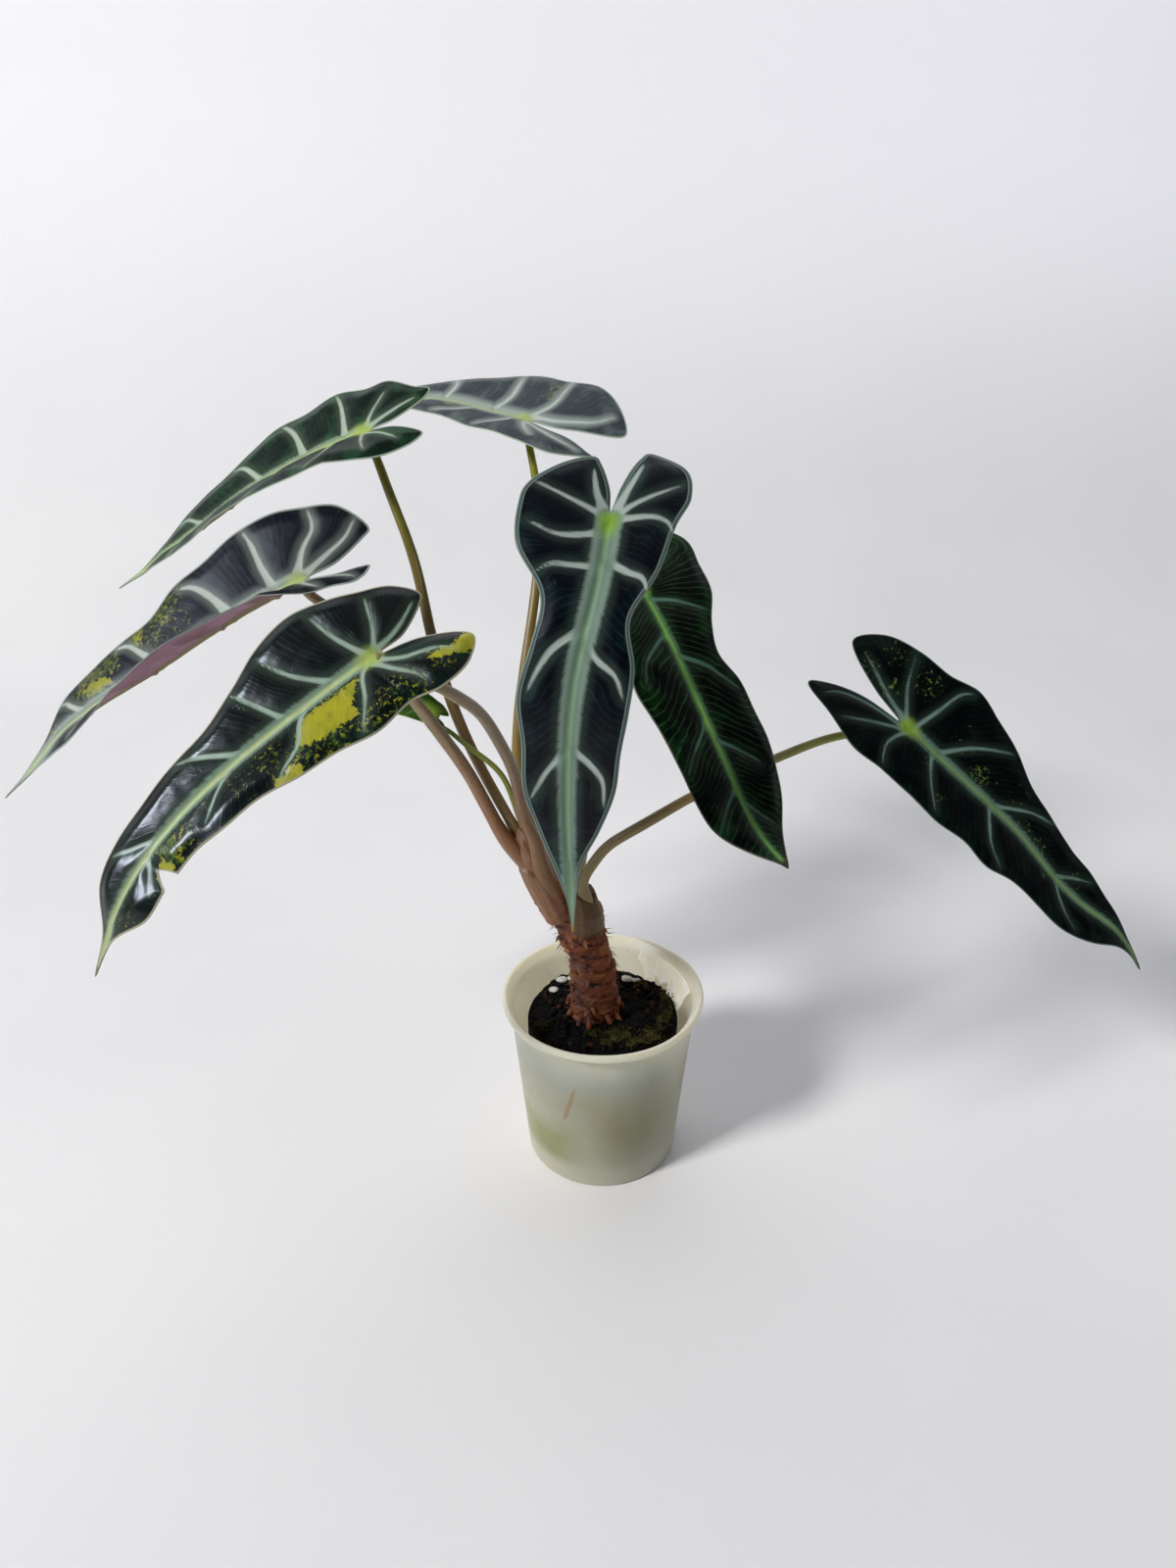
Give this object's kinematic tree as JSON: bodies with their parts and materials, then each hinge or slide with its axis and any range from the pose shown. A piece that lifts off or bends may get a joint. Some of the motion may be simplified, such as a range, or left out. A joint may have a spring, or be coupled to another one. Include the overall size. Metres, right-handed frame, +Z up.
{
  "type": "potted variegated bambino alocasia",
  "caption": "Alocasia house plant with narrow arrow-shaped dark green pale-veined leaves, flecked yellow, on arching stalks from a short stem in a small translucent nursery cup.",
  "frame": {"origin": "centre of the cup's flat base, on the surface it stands on", "axes": "+Z up out of the cup, -Y towards the side with the tall upright front leaf, +X towards the single leaf on the long side stalk"},
  "size_m": [0.3806, 0.2113, 0.2831],
  "materials": {
    "cup": "satin",
    "soil": "matte",
    "stem": "matte",
    "sheath": "satin",
    "petiole": "satin",
    "blade": "satin",
    "young_blade": "satin",
    "moss": "matte",
    "perlite": "matte"
  },
  "bodies": {
    "root": {"nursery_cup": "cup", "potting_soil": "soil", "stem": "stem", "left_sheath": "sheath", "right_sheath": "sheath", "petiole_upper_left": "petiole", "leaf_upper_left": "blade", "petiole_back": "petiole", "leaf_back": "blade", "petiole_left": "petiole", "leaf_left": "blade", "petiole_front_left": "petiole", "leaf_front_left": "blade", "petiole_front": "petiole", "leaf_front": "blade", "petiole_front_right": "petiole", "leaf_front_right": "blade", "petiole_right": "petiole", "leaf_right": "blade", "petiole_young": "petiole", "leaf_young": "young_blade", "moss_1": "moss", "moss_2": "moss", "moss_3": "moss", "perlite_1": "perlite", "perlite_2": "perlite", "perlite_3": "perlite", "perlite_4": "perlite", "perlite_5": "perlite"}
  },
  "joints": []
}
